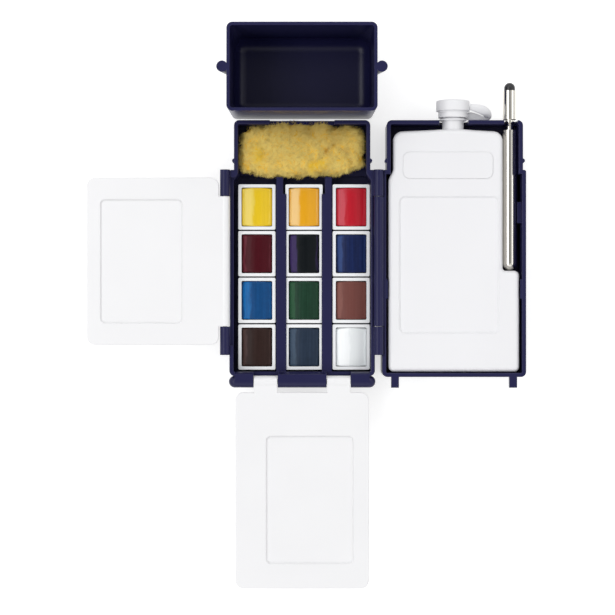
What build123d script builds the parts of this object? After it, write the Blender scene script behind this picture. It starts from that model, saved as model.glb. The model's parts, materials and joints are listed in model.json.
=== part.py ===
from build123d import *
import os
from math import acos, atan2, cos, sin

# Watercolour field box, opened out flat the way it lies in use.
# X runs to the right across the tray, Y runs to the narrow end, Z is up.
# The origin is the middle of the base tray's underside, on the table.
# All lengths are millimetres.

# Trays, base and lid alike
tray_width = 60.6
tray_length = 106.6
tray_depth = 18.0
tray_wall = 1.7
tray_floor = 1.8
tray_corner = 2.2
tray_edge_round = 0.9
tray_rim_round = 0.35
narrow_length = 20.7
narrow_inset = 1.9
narrow_lift = 2.4
inner_chamfer = 2.6
lid_narrowing = 0.6
lid_extra_length = 0.4

# Running clearances
moving_gap = 0.3
knuckle_gap = 0.2
pin_gap = 0.05
seat_gap = 0.1

# How far joined forms reach into each other, and how far a cut runs past a face
join = 0.5
past = 1.0
least_corner = 0.4

# Side hinges: the left one carries the side palette, the right one the lid
side_barrel_radius = 2.1
side_pin_radius = 0.8
left_axis_out = 1.8
lid_axis_out = 1.5
axis_above_rim = 0.15
upper_knuckle = 11.0
lower_knuckle = 11.8
hinge_from_front = 8.8
side_web_drop = 7.0

# Front hinge
front_barrel_radius = 2.5
front_pin_radius = 1.0
front_axis_out = 2.4
front_barrel_overhang = 0.3
front_arm_inner = 10.4
front_arm_width = 9.7
front_web_drop = 8.0
web_root = 0.8

# Half pans and their cakes of paint
pan_height = 10.4
pan_wall = 1.35
pan_floor = 0.8
pan_corner = 0.6
pan_foot_inset = 0.45
pan_gap = 0.55
pan_seat_gap = 0.25
pan_field_left_gap = 1.8
pan_field_top_gap = 5.7
pan_field_front_gap = 0.75
pan_columns = 3
pan_rows = 4
cake_gap = 0.12
cake_side_drop = 1.2
cake_crown = 1.4

# Ribs between the pan columns
rib_width = 3.0
rib_spacing = 4.15
rib_edge = 0.35
rib_start_gap = 2.7
lip_reach = 0.4
lip_thickness = 0.9
lip_start_from_step = 9.8

# Palettes
plate_thickness = 1.4
plate_edge_round = 0.35
plate_corner = 3.4
well_depth = 0.9
well_back = 0.5
well_corner = 2.2
side_plate_past_knuckle = 7.6
side_plate_end_gap = 3.4
side_plate_start = 2.5
side_plate_rim_gap = 0.4
side_well_far_margin = 5.5
side_well_near_margin = 15.1
side_well_end_margin = 8.9
front_plate_side_gap = 0.8
front_plate_end_gap = 2.15
front_well_far_margin = 10.2
front_well_near_margin = 18.1
front_well_left_margin = 12.7
front_well_right_margin = 6.3

# Snap nubs at the narrow end
nub_radius = 0.95
nub_reach = 0.8
nub_height = 5.0
nub_from_step = 3.8

# Base tray's cut-outs
end_dip_half_width = 13.5
end_dip_depth = 4.0
scoop_half_width = 9.0
scoop_depth = 3.6
scoop_side_slope = 2.0
scoop_lip = 0.4

# Lid tray's fittings
neck_notch_gap = 1.6
keeper_length = 8.1
keeper_reach = 0.7
keeper_height = 4.0
keeper_from_front = 36.7
cradle_length = 8.8
cradle_from_step = 17.6
prong_width = 3.2
prong_thickness = 3.0
prong_from_side = 5.4
prong_round = 0.6

# Water bottle
bottle_side_gap = 1.0
bottle_end_gap = 0.4
bottle_floor_gap = 0.3
bottle_rim_gap = 0.7
bottle_wall = 1.2
bottle_corner = 2.2
bottle_front_round = 1.9
bottle_back_round = 1.2
bottle_shoulder_drop = 1.0
bottle_shoulder_round = 4.0
shoulder_inside_end = 3.7
bottle_waist = 4.2
panel_margin = 4.7
panel_right_margin = 1.8
panel_below_step = 11.3
panel_above_foot = 16.2
panel_depth = 0.8
panel_corner = 2.2
plaque_margin = 4.2
plaque_height = 11.0
plaque_raise = 0.35
plaque_above_step = 1.9

# Bottle neck, cap and strap
neck_radius = 4.5
neck_bore_radius = 3.3
neck_past_end = 5.6
cap_past_end = 1.5
cap_skirt_length = 2.8
cap_head_length = 4.5
cap_skirt_radius = 6.1
cap_head_radius = 7.0
cap_roof = 1.5
cap_round = 1.0
cap_plug_length = 2.6
cap_plug_wall = 1.2
strap_thickness = 0.9
strap_width = 2.7
strap_ring_radius = 5.8
strap_bend_radius = 7.6
strap_straight = 1.8

# Pocket brush, lying in the lid
brush_axis_z = 12.0
sheath_radius = 3.0
sheath_wall = 0.35
sheath_ring_length = 1.0
sheath_ring_rise = 0.1
handle_radius = 2.9
handle_length = 12.4
handle_wall_gap = 0.4
collar_radius = 2.0
collar_length = 1.2
stem_radius = 1.4
stopper_length = 5.5
end_plug_length = 3.4
end_plug_radius = 2.3
end_plug_stub = 3.0
handle_bore_radius = 1.9
ferrule_length = 13.0
ferrule_tip_radius = 1.25
ferrule_root_radius = 2.0
ferrule_straight = 3.9
hair_length = 14.0
hair_belly = 4.2
hair_belly_radius = 1.5
hair_tip_radius = 0.12
hair_root_gap = 0.05
turned_edge = 0.3
sheath_from_wall = 2.1
sheath_length = 58.6

# Water cup
cup_height = 40.0
cup_wall = 1.3
cup_floor = 1.4
cup_corner = 2.4
cup_draft = 0.5
cup_width_over_tray = 0.6
cup_stand_off = 1.6
cup_foot_round = 1.1
cup_floor_corner = 6.5
cup_inner_round = 5.5
lug_radius = 2.3
lug_length = 33.0
lug_out = 1.8
lug_tip_radius = 0.5

# Sponge
sponge_top_z = 17.8
sponge_under_inset = 3.0
sponge_crown_inset = 5.6
sponge_corner = 5.5

# Levels and edges worked out from the sizes above
half_width = tray_width / 2
top_y = tray_length / 2
bottom_y = -tray_length / 2
step_y = top_y - narrow_length
inner_top_y = top_y - tray_wall
over_rim_z = tray_depth + past
narrow_half = half_width - narrow_inset
inner_half = half_width - tray_wall
inner_bottom_y = bottom_y + tray_wall
narrow_floor_z = narrow_lift + tray_floor
side_axis_z = tray_depth + axis_above_rim
left_axis_x = -half_width - left_axis_out
lid_axis_x = half_width + lid_axis_out
front_axis_y = bottom_y - front_axis_out
front_axis_z = tray_depth - front_barrel_radius

middle_top_y = step_y - upper_knuckle
lower_end_y = bottom_y + hinge_from_front
middle_bottom_y = lower_end_y + lower_knuckle
front_half_length = half_width + front_barrel_overhang

# Pans fill the wide part, with room left of the columns and above the rows
pan_field_width = 2 * inner_half - pan_seat_gap - pan_field_left_gap
pan_field_length = step_y - pan_field_top_gap - inner_bottom_y - pan_field_front_gap
pan_width = (pan_field_width - (pan_columns - 1) * rib_spacing) / pan_columns
pan_length = (pan_field_length - (pan_rows - 1) * pan_gap) / pan_rows
pan_top_z = tray_floor + pan_height
rib_top_z = pan_top_z + seat_gap + lip_thickness
column_pitch = pan_width + rib_spacing
row_pitch = pan_length + pan_gap
right_column_x = inner_half - pan_seat_gap - pan_width / 2
front_row_y = inner_bottom_y + pan_field_front_gap + pan_length / 2

# Closed levels of the two palettes, and from them the open ones
front_closed_z = rib_top_z + moving_gap
front_open_z = 2 * front_axis_z - front_closed_z - plate_thickness
side_closed_z = tray_depth - side_plate_rim_gap - plate_thickness
side_open_z = 2 * side_axis_z - side_closed_z - plate_thickness
side_plate_middle_y = (middle_top_y + middle_bottom_y) / 2
side_plate_length = middle_top_y - middle_bottom_y + 2 * side_plate_past_knuckle
side_plate_near_x = left_axis_x - side_plate_start
side_plate_width = inner_half - side_plate_end_gap - left_axis_x - side_plate_start
front_plate_width = 2 * (inner_half - front_plate_side_gap)
front_plate_start = front_axis_out + tray_wall + moving_gap
front_closed_far_y = step_y - front_plate_end_gap
front_plate_far_y = 2 * front_axis_y - front_closed_far_y

lid_near_x = lid_axis_x + lid_axis_out
lid_far_x = lid_near_x + tray_width - lid_narrowing
lid_middle_x = (lid_near_x + lid_far_x) / 2
lid_narrow_near_x = 2 * lid_axis_x - narrow_half
lid_narrow_far_x = 2 * lid_axis_x + narrow_half
lid_bottom_y = bottom_y - lid_extra_length
sheath_mouth_y = inner_top_y - sheath_from_wall

sheath_x = lid_narrow_far_x - tray_wall - moving_gap - sheath_radius
handle_start_y = top_y + handle_wall_gap
handle_end_y = handle_start_y + handle_length
stopper_radius = sheath_radius - sheath_wall - pin_gap
stopper_start_y = sheath_mouth_y - seat_gap
ferrule_start_y = stopper_start_y - stopper_length
hair_start_y = ferrule_start_y - ferrule_length

neck_x = lid_middle_x
bottle_left_x = lid_near_x + tray_wall + bottle_side_gap
bottle_right_x = lid_far_x - tray_wall - bottle_side_gap
bottle_narrow_left_x = lid_narrow_near_x + tray_wall + bottle_side_gap
bottle_channel_x = sheath_x - sheath_radius - moving_gap
bottle_bottom_y = lid_bottom_y + tray_wall + bottle_end_gap
bottle_channel_y = sheath_mouth_y - sheath_length - moving_gap
bottle_back_z = tray_floor + bottle_floor_gap
bottle_narrow_back_z = narrow_floor_z + bottle_floor_gap
bottle_front_z = tray_depth - bottle_rim_gap
neck_z = (bottle_narrow_back_z + bottle_front_z) / 2
bottle_shoulder_y = top_y - shoulder_inside_end
neck_top_y = top_y + neck_past_end
cap_bottom_y = top_y + cap_past_end
cap_tier_y = cap_bottom_y + cap_skirt_length
cap_top_y = cap_tier_y + cap_head_length

cup_half_x = half_width + cup_width_over_tray / 2
cup_half_y = tray_depth
cup_y = top_y + cup_stand_off + cup_half_y

colours = [
    "yellow", "deep_yellow", "red",
    "crimson", "violet", "ultramarine",
    "blue", "green", "red_brown",
    "umber", "indigo", "white",
]


def slab(x0, x1, y0, y1, z0, z1):
    """Rectangular block between two corners."""
    block = Box(x1 - x0, y1 - y0, z1 - z0)
    return Pos((x0 + x1) / 2, (y0 + y1) / 2, (z0 + z1) / 2) * block


def along_y(profile, y0, y1):
    """Push an X-Z profile from y0 to y1."""
    start = Plane(origin=(0, y1, 0), x_dir=(1, 0, 0), z_dir=(0, -1, 0))
    return extrude(start * profile, y1 - y0)


def along_x(profile, x0, x1):
    """Push a Y-Z profile from x0 to x1."""
    start = Plane(origin=(x0, 0, 0), x_dir=(0, 1, 0), z_dir=(1, 0, 0))
    return extrude(start * profile, x1 - x0)


def upright(profile, z0, z1):
    """Push an X-Y outline from z0 to z1."""
    return extrude(Pos(0, 0, z0) * profile, z1 - z0)


def outline(corners):
    """Closed outline from (x, y, corner radius) rows."""
    points = [(x, y) for x, y, radius in corners]
    radii = [radius for x, y, radius in corners]
    return make_face(FilletPolyline(*points, radius=radii, close=True))


def polygon(points):
    """Closed outline with sharp corners."""
    return make_face(Polyline(*points, close=True))


def spun(profile_points, x, z):
    """Turned piece on an axis along Y; points are (radius, y)."""
    face = polygon(profile_points)
    return Pos(x, 0, z) * revolve(face, Axis.Y)


def touch_point(centre, radius, point, side):
    """Where the line from a point touches a circle; side is 1 or -1."""
    dx = point[0] - centre[0]
    dy = point[1] - centre[1]
    distance = (dx * dx + dy * dy) ** 0.5
    angle = atan2(dy, dx) + side * acos(radius / distance)
    return (centre[0] + radius * cos(angle), centre[1] + radius * sin(angle))


def barrel_profile(centre, radius, wall, into, drop, root_top, side):
    """Hinge barrel with the web that carries it down to its wall.

    wall is the wall's outer face and into is 1 or -1, the way into the wall.
    """
    foot = (wall, centre[1] - drop)
    tangent = touch_point(centre, radius, foot, side)
    web = polygon([
        centre,
        tangent,
        foot,
        (wall + into * web_root, centre[1] - drop),
        (wall + into * web_root, root_top),
    ])
    return Pos(*centre) * Circle(radius) + web


# Trays

def tray_shell(left, right, narrow_left, narrow_right, low_y):
    """Stepped tray: a wide part, and a narrow end with a raised underside."""
    small = tray_edge_round
    wide_face = outline([
        (left, low_y, tray_corner),
        (right, low_y, tray_corner),
        (right, step_y, small),
        (left, step_y, small),
    ])
    narrow_face = outline([
        (narrow_left, step_y - tray_wall * 2, 0),
        (narrow_right, step_y - tray_wall * 2, 0),
        (narrow_right, top_y, tray_corner),
        (narrow_left, top_y, tray_corner),
    ])
    wide = upright(wide_face, 0, tray_depth)
    wide = fillet(wide.edges().group_by(Axis.Z)[0], tray_edge_round)
    narrow = upright(narrow_face, narrow_lift, tray_depth)
    narrow = fillet(narrow.edges().group_by(Axis.Z)[0], tray_edge_round)
    return wide + narrow


def tray_hollow(left, right, narrow_left, narrow_right, low_y, chamfer):
    """The space inside a tray; chamfer eases its two inner shoulders."""
    inside = max(tray_corner - tray_wall, least_corner)
    wide_face = outline([
        (left + tray_wall, low_y + tray_wall, inside),
        (right - tray_wall, low_y + tray_wall, inside),
        (right - tray_wall, step_y - tray_wall - chamfer, 0),
        (narrow_right - tray_wall, step_y - tray_wall, 0),
        (narrow_left + tray_wall, step_y - tray_wall, 0),
        (left + tray_wall, step_y - tray_wall - chamfer, 0),
    ])
    narrow_face = outline([
        (narrow_left + tray_wall, step_y - tray_wall, 0),
        (narrow_right - tray_wall, step_y - tray_wall, 0),
        (narrow_right - tray_wall, inner_top_y, inside),
        (narrow_left + tray_wall, inner_top_y, inside),
    ])
    wide = upright(wide_face, tray_floor, over_rim_z)
    return wide + upright(narrow_face, narrow_floor_z, over_rim_z)


def snap_nubs(left, right):
    """Half-round nubs that the water cup slides over."""
    y = step_y + nub_from_step
    z0 = tray_depth - nub_height
    z1 = tray_depth - moving_gap
    sunk = nub_radius - nub_reach
    nub = Cylinder(nub_radius, z1 - z0)
    height = (z0 + z1) / 2
    return Pos(left + sunk, y, height) * nub + Pos(right - sunk, y, height) * nub


def end_knuckle_ranges():
    return [(middle_top_y, step_y), (lower_end_y, middle_bottom_y)]


def pan_centres():
    """Pans in reading order: top row first, left column first."""
    centres = []
    for row in range(pan_rows):
        y = front_row_y + (pan_rows - 1 - row) * row_pitch
        for column in range(pan_columns):
            x = right_column_x - (pan_columns - 1 - column) * column_pitch
            centres.append((x, y))
    return centres


def pan_rib(pan_edge, away):
    """Rib beside one pan column, with a lip over the column across the gap.

    pan_edge is the edge it stands against; away is the way the lip points.
    """
    near = pan_edge + away * pan_seat_gap
    far = near + away * rib_width
    lip_end = pan_edge + away * (rib_spacing + lip_reach)
    y_end = inner_bottom_y - join
    foot_z = tray_floor - join
    y_start = step_y - rib_start_gap
    lip_y = step_y - lip_start_from_step
    edge = min(rib_edge, rib_width / 4, lip_thickness / 2)
    body = polygon([
        (near, foot_z),
        (near, rib_top_z - edge),
        (near + away * edge, rib_top_z),
        (far - away * edge, rib_top_z),
        (far, rib_top_z - edge),
        (far, foot_z),
    ])
    under = rib_top_z - lip_thickness
    lip = polygon([
        (far - away * edge * 2, under),
        (far - away * edge * 2, rib_top_z),
        (lip_end - away * edge, rib_top_z),
        (lip_end, rib_top_z - edge),
        (lip_end, under),
    ])
    return along_y(body, y_end, y_start) + along_y(lip, y_end, lip_y)


def thumb_scoop():
    """Sloping dip in the front wall, where a thumb lifts the palettes."""
    low = tray_depth - scoop_depth
    opening = polygon([
        (-scoop_half_width + scoop_side_slope, low),
        (scoop_half_width - scoop_side_slope, low),
        (scoop_half_width + scoop_side_slope, over_rim_z),
        (-scoop_half_width - scoop_side_slope, over_rim_z),
    ])
    slope = polygon([
        (inner_bottom_y + past, low),
        (inner_bottom_y, low),
        (bottom_y, tray_depth - scoop_lip),
        (bottom_y, over_rim_z),
        (inner_bottom_y + past, over_rim_z),
    ])
    cut = along_y(opening, bottom_y - past, inner_bottom_y + past)
    return cut & along_x(slope, -half_width, half_width)


def front_barrel_ranges():
    """Base knuckles of the front hinge: left end, middle, right end."""
    arm_far = front_arm_inner + front_arm_width
    straight = front_half_length - front_barrel_radius
    return [
        (-straight, -arm_far - knuckle_gap),
        (-front_arm_inner + knuckle_gap, front_arm_inner - knuckle_gap),
        (arm_far + knuckle_gap, straight),
    ]


def front_wall_relief():
    """Rounds the front wall's inner edge, so the front palette swings past it."""
    corner = polygon([
        (front_axis_y, front_axis_z),
        (inner_bottom_y + join, front_axis_z),
        (inner_bottom_y + join, over_rim_z),
        (front_axis_y, over_rim_z),
    ])
    corner -= Pos(front_axis_y, front_axis_z) * Circle(front_plate_start - moving_gap)
    reach = front_plate_width / 2 + moving_gap
    return along_x(corner, -reach, reach)


def base_tray():
    tray = tray_shell(-half_width, half_width, -narrow_half, narrow_half, bottom_y)
    tray -= tray_hollow(
        -half_width, half_width, -narrow_half, narrow_half, bottom_y, inner_chamfer
    )
    tray = fillet(tray.edges().group_by(Axis.Z)[-1], tray_rim_round)

    # The wall dips that the folded palettes, the sponge and the lid need
    tray -= slab(
        -end_dip_half_width, end_dip_half_width, inner_top_y - join, top_y + past,
        tray_depth - end_dip_depth, over_rim_z,
    )
    half_plate = side_plate_length / 2 + moving_gap
    tray -= slab(
        -half_width - past, -inner_half + inner_chamfer,
        side_plate_middle_y - half_plate, side_plate_middle_y + half_plate,
        side_closed_z - moving_gap, over_rim_z,
    )
    for side in (-1, 1):
        inner = side * (front_arm_inner - moving_gap)
        outer = side * (front_arm_inner + front_arm_width + moving_gap)
        tray -= slab(
            min(inner, outer), max(inner, outer),
            bottom_y - past, inner_bottom_y + join,
            front_closed_z - moving_gap, over_rim_z,
        )
    tray -= thumb_scoop()
    tray -= front_wall_relief()
    relief = Pos(lid_axis_x, side_axis_z) * Circle(side_barrel_radius + moving_gap)
    tray -= along_y(relief, middle_bottom_y - knuckle_gap, middle_top_y + knuckle_gap)

    # Side hinge knuckles at both ends of each barrel
    left = barrel_profile(
        (left_axis_x, side_axis_z), side_barrel_radius, -half_width, 1,
        side_web_drop, side_closed_z - moving_gap - join, -1,
    )
    right = barrel_profile(
        (lid_axis_x, side_axis_z), side_barrel_radius, half_width, -1,
        side_web_drop, tray_depth - join, 1,
    )
    for low, high in end_knuckle_ranges():
        for profile in (left, right):
            tray += along_y(profile, low, high)

    # Front hinge knuckles, the outer two with round ends
    front = barrel_profile(
        (front_axis_y, front_axis_z), front_barrel_radius, bottom_y, 1,
        front_web_drop, tray_depth - web_root, -1,
    )
    front += polygon([
        (front_axis_y, front_axis_z),
        (bottom_y + web_root, front_axis_z),
        (bottom_y + web_root, tray_depth),
        (front_axis_y, tray_depth),
    ])
    for low, high in front_barrel_ranges():
        tray += along_x(front, low, high)
    straight = front_half_length - front_barrel_radius
    for side in (-1, 1):
        ball = Sphere(front_barrel_radius)
        tray += Pos(side * straight, front_axis_y, front_axis_z) * ball

    # Ribs, nubs and the bores for the pins
    tray += pan_rib(right_column_x - 2 * column_pitch + pan_width / 2, 1)
    tray += pan_rib(right_column_x - pan_width / 2, -1)
    tray += snap_nubs(-narrow_half, narrow_half)
    for pin in (left_hinge_pin(), lid_hinge_pin(), front_hinge_pin()):
        tray -= pin
    return tray


def left_hinge_pin():
    return side_pin(left_axis_x)


def lid_hinge_pin():
    return side_pin(lid_axis_x)


def side_pin(x):
    """Pin let in from the lower end, blind in the upper knuckle."""
    profile = Pos(x, side_axis_z) * Circle(side_pin_radius)
    return along_y(profile, lower_end_y, step_y - upper_knuckle / 3)


def front_hinge_pin():
    """Pin that stops short of both round ends."""
    reach = front_half_length - front_barrel_radius
    profile = Pos(front_axis_y, front_axis_z) * Circle(front_pin_radius)
    return along_x(profile, -reach, reach)


# Pans

def half_pan(x, y):
    """Open half pan with straight inner sides, a little narrower at its foot."""
    foot = RectangleRounded(
        pan_width - 2 * pan_foot_inset, pan_length - 2 * pan_foot_inset, pan_corner
    )
    rim = RectangleRounded(pan_width, pan_length, pan_corner)
    rim_z = pan_top_z - pan_wall
    body = loft([Pos(x, y, tray_floor) * foot, Pos(x, y, rim_z) * rim])
    body += upright(Pos(x, y) * rim, rim_z, pan_top_z)
    return body - pan_inside(x, y, pan_wall, pan_top_z + past)


def pan_inside(x, y, inset, top_z):
    """Block that stands on a pan's floor, drawn in by inset from its rim."""
    face = RectangleRounded(pan_width - 2 * inset, pan_length - 2 * inset, pan_corner)
    return upright(Pos(x, y) * face, tray_floor + pan_floor, top_z)


def paint_cake(x, y):
    """Poured cake of paint with a crown across its width."""
    inset = pan_wall + cake_gap
    half = pan_width / 2 - inset
    side_z = pan_top_z - cake_side_drop
    crown_z = side_z + cake_crown
    crown = ThreePointArc((half, side_z), (0, crown_z), (-half, side_z))
    sides = Polyline((-half, side_z), (-half, 0), (half, 0), (half, side_z))
    profile = Pos(x, 0) * make_face([crown, sides])
    crowned = along_y(profile, y - pan_length / 2, y + pan_length / 2)
    return crowned & pan_inside(x, y, inset, crown_z + past)


# Palettes, modelled where they lie when open

def plate(x0, x1, y0, y1, z0, well):
    """Palette plate with a mixing well that shows as a low step on its back."""
    wx0, wx1, wy0, wy1 = well
    face = Pos((x0 + x1) / 2, (y0 + y1) / 2) * RectangleRounded(
        x1 - x0, y1 - y0, plate_corner
    )
    body = upright(face, z0, z0 + plate_thickness)
    body = fillet(body.edges().group_by(Axis.Z)[-1], plate_edge_round)
    body = fillet(body.edges().group_by(Axis.Z)[0], plate_edge_round)
    middle = Pos((wx0 + wx1) / 2, (wy0 + wy1) / 2)
    back = RectangleRounded(
        wx1 - wx0 + 2 * plate_thickness, wy1 - wy0 + 2 * plate_thickness,
        well_corner + plate_thickness,
    )
    body += upright(middle * back, z0 - well_back, z0 + plate_thickness / 2)
    top = z0 + plate_thickness
    rim = RectangleRounded(wx1 - wx0, wy1 - wy0, well_corner)
    slope = min(well_depth / 2, well_corner / 3)
    floor = RectangleRounded(
        wx1 - wx0 - 2 * slope, wy1 - wy0 - 2 * slope, well_corner - slope
    )
    well_cut = loft([
        Pos(0, 0, top - well_depth) * middle * floor,
        Pos(0, 0, top) * middle * rim,
    ])
    return body - well_cut


def side_palette():
    near_x = side_plate_near_x
    far_x = near_x - side_plate_width
    low_y = side_plate_middle_y - side_plate_length / 2
    high_y = side_plate_middle_y + side_plate_length / 2
    well = (
        far_x + side_well_far_margin, near_x - side_well_near_margin,
        low_y + side_well_end_margin, high_y - side_well_end_margin,
    )
    body = plate(far_x, near_x, low_y, high_y, side_open_z, well)
    low = middle_bottom_y + knuckle_gap
    high = middle_top_y - knuckle_gap
    body += slab(
        near_x - past, left_axis_x, low, high,
        side_open_z, side_open_z + plate_thickness,
    )
    centre = Pos(left_axis_x, side_axis_z)
    body += along_y(centre * Circle(side_barrel_radius), low, high)
    return body - along_y(centre * Circle(side_pin_radius + pin_gap), low, high)


def front_palette():
    near_y = front_axis_y - front_plate_start
    half = front_plate_width / 2
    well = (
        -half + front_well_left_margin, half - front_well_right_margin,
        front_plate_far_y + front_well_far_margin, near_y - front_well_near_margin,
    )
    body = plate(-half, half, front_plate_far_y, near_y, front_open_z, well)
    centre = Pos(front_axis_y, front_axis_z)
    for side in (-1, 1):
        inner = side * front_arm_inner
        outer = side * (front_arm_inner + front_arm_width)
        low = min(inner, outer)
        high = max(inner, outer)
        body += slab(
            low, high, near_y - past, front_axis_y,
            front_open_z, front_open_z + plate_thickness,
        )
        body += along_x(centre * Circle(front_barrel_radius), low, high)
        body -= along_x(centre * Circle(front_pin_radius + pin_gap), low, high)
    return body


# Lid

def lid_notch(x, z, half):
    """Notch with a round bottom through the lid's end wall."""
    profile = Pos(x, z) * Circle(half)
    profile += polygon([
        (x - half, z),
        (x + half, z),
        (x + half, over_rim_z),
        (x - half, over_rim_z),
    ])
    return along_y(profile, inner_top_y - join, top_y + past)


def lid_tray():
    tray = tray_shell(
        lid_near_x, lid_far_x, lid_narrow_near_x, lid_narrow_far_x, lid_bottom_y
    )
    tray -= tray_hollow(
        lid_near_x, lid_far_x, lid_narrow_near_x, lid_narrow_far_x, lid_bottom_y, 0
    )
    tray = fillet(tray.edges().group_by(Axis.Z)[-1], tray_rim_round)
    tray -= lid_notch(neck_x, neck_z, neck_radius + neck_notch_gap)
    tray -= lid_notch(sheath_x, brush_axis_z, stopper_radius + moving_gap)
    relief = Pos(lid_axis_x, side_axis_z) * Circle(side_barrel_radius + moving_gap)
    for low, high in end_knuckle_ranges():
        tray -= along_y(relief, low - knuckle_gap, high + moving_gap)
    tray += snap_nubs(lid_narrow_near_x, lid_narrow_far_x)

    # Middle knuckle of the lid hinge
    profile = barrel_profile(
        (lid_axis_x, side_axis_z), side_barrel_radius, lid_near_x, 1,
        side_web_drop, tray_depth - join, -1,
    )
    low = middle_bottom_y + knuckle_gap
    high = middle_top_y - knuckle_gap
    tray += along_y(profile, low, high)
    bore = Pos(lid_axis_x, side_axis_z) * Circle(side_pin_radius + pin_gap)
    tray -= along_y(bore, low, high)

    # Low keepers that the bottle slips past, on both long walls
    inner_near = lid_near_x + tray_wall
    inner_far = lid_far_x - tray_wall
    y0 = lid_bottom_y + keeper_from_front - keeper_length / 2
    y1 = y0 + keeper_length
    z0 = tray_depth - moving_gap - keeper_height
    z1 = tray_depth - moving_gap
    tray += slab(inner_near - join, inner_near + keeper_reach, y0, y1, z0, z1)
    tray += slab(inner_far - keeper_reach, inner_far + join, y0, y1, z0, z1)
    tray += brush_cradle()

    # Prongs that come down on the front barrels when the lid shuts
    for x in (lid_near_x + prong_from_side, lid_far_x - prong_from_side):
        end_y = front_axis_y - front_barrel_radius
        prong = slab(
            x - prong_width / 2, x + prong_width / 2, end_y, lid_bottom_y + join,
            tray_depth - prong_thickness, tray_depth,
        )
        outer = prong.edges().filter_by(Axis.X).group_by(Axis.Y)[0]
        tray += fillet(outer, min(prong_round, prong_thickness / 3))
    return tray


def brush_cradle():
    """Saddle from the lid's floor that the brush sheath lies in."""
    left = sheath_x - sheath_radius
    right = lid_far_x - tray_wall + join
    wall_side = sheath_x + sheath_radius
    block = polygon([
        (left, tray_floor - join),
        (right, tray_floor - join),
        (right, brush_axis_z + sheath_radius / 2),
        (wall_side, brush_axis_z + sheath_radius / 2),
        (wall_side, brush_axis_z),
        (left, brush_axis_z - sheath_radius / 2),
    ])
    block -= Pos(sheath_x, brush_axis_z) * Circle(sheath_radius + moving_gap)
    y1 = step_y - cradle_from_step + cradle_length / 2
    return along_y(block, y1 - cradle_length, y1)


# Water bottle and cap

def bottle_outline(inset):
    """Bottle seen from the front; inset draws it in for the space inside."""
    corner = max(bottle_corner - inset, least_corner)
    shoulder_corner = bottle_shoulder_round - inset
    left = bottle_left_x + inset
    right = bottle_right_x - inset
    narrow_left = bottle_narrow_left_x + inset
    channel_x = bottle_channel_x - inset
    low = bottle_bottom_y + inset
    shoulder = bottle_shoulder_y - inset
    corner_y = shoulder - bottle_shoulder_drop
    channel_y = bottle_channel_y - inset
    waist_y = step_y - inset / 2
    return outline([
        (left, low, corner),
        (right, low, corner),
        (right, channel_y, corner),
        (channel_x, channel_y, corner * 0.6),
        (channel_x, corner_y, shoulder_corner),
        (neck_x + neck_radius, shoulder, 0),
        (neck_x - neck_radius, shoulder, 0),
        (narrow_left, corner_y, shoulder_corner),
        (narrow_left, waist_y, corner),
        (left, waist_y - bottle_waist, corner),
    ])


def narrow_back_step(inset):
    """Wedge taken off the back, where the lid's floor is raised."""
    low = bottle_back_z - past
    high = bottle_narrow_back_z + inset
    foot_y = step_y - tray_wall - moving_gap - inset - (high - low)
    profile = polygon([
        (foot_y, low),
        (foot_y + high - low, high),
        (neck_top_y, high),
        (neck_top_y, low),
    ])
    return along_x(profile, lid_near_x, lid_far_x)


def panel_face(grow):
    """Sunk panel on the bottle's front; grow widens it."""
    left = bottle_left_x + panel_margin - grow
    right = bottle_channel_x - panel_right_margin + grow
    low = bottle_bottom_y + panel_above_foot - grow
    high = step_y - panel_below_step + grow
    face = RectangleRounded(right - left, high - low, panel_corner + grow)
    return Pos((left + right) / 2, (low + high) / 2) * face


def water_bottle():
    body = upright(bottle_outline(0), bottle_back_z, bottle_front_z)
    body = fillet(body.edges().group_by(Axis.Z)[-1], bottle_front_round)
    body = fillet(body.edges().group_by(Axis.Z)[0], bottle_back_round)
    body -= narrow_back_step(0)
    inside = upright(
        bottle_outline(bottle_wall),
        bottle_back_z + bottle_wall, bottle_front_z - bottle_wall,
    )
    inside -= narrow_back_step(bottle_wall)

    # The front panel is sunk, with the same wall behind it
    sunk_z = bottle_front_z - panel_depth
    inside -= upright(panel_face(bottle_wall), sunk_z - bottle_wall, bottle_front_z)
    sunk = loft([
        Pos(0, 0, sunk_z) * panel_face(-panel_depth / 2),
        Pos(0, 0, bottle_front_z) * panel_face(panel_depth / 2),
    ])
    body -= sunk

    # A bare plaque stands on the shoulder
    plaque_x = (bottle_narrow_left_x + bottle_channel_x) / 2
    plaque_width = bottle_channel_x - bottle_narrow_left_x - 2 * plaque_margin
    plaque = Pos(plaque_x, step_y + plaque_above_step) * RectangleRounded(
        plaque_width, plaque_height, plaque_height / 4
    )
    body += upright(plaque, bottle_front_z - bottle_wall / 2, bottle_front_z + plaque_raise)

    root_y = bottle_shoulder_y - bottle_wall - join
    neck = Pos(neck_x, neck_z)
    body += along_y(neck * Circle(neck_radius), root_y, neck_top_y)
    body -= inside
    bore = neck * Circle(neck_bore_radius)
    return body - along_y(bore, root_y - past, neck_top_y + past)


def bottle_cap():
    """Push-on cap: skirt, wider head, and a plug inside for the neck's bore."""
    roof_y = cap_top_y - cap_roof
    bore = neck_radius + pin_gap
    plug = neck_bore_radius - pin_gap
    round_in = min(cap_round, cap_roof / 2)
    face = polygon([
        (0, cap_top_y),
        (cap_head_radius, cap_top_y),
        (cap_head_radius, cap_tier_y),
        (cap_skirt_radius, cap_tier_y),
        (cap_skirt_radius, cap_bottom_y),
        (bore, cap_bottom_y),
        (bore, roof_y),
        (plug, roof_y),
        (plug, neck_top_y - cap_plug_length),
        (plug - cap_plug_wall, neck_top_y - cap_plug_length),
        (plug - cap_plug_wall, roof_y),
        (0, roof_y),
    ])
    rim = face.vertices().sort_by(Axis.Y)[-2:].sort_by(Axis.X)[-1]
    face = fillet(rim, round_in)
    return Pos(neck_x, 0, neck_z) * revolve(face, Axis.Y)


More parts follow.
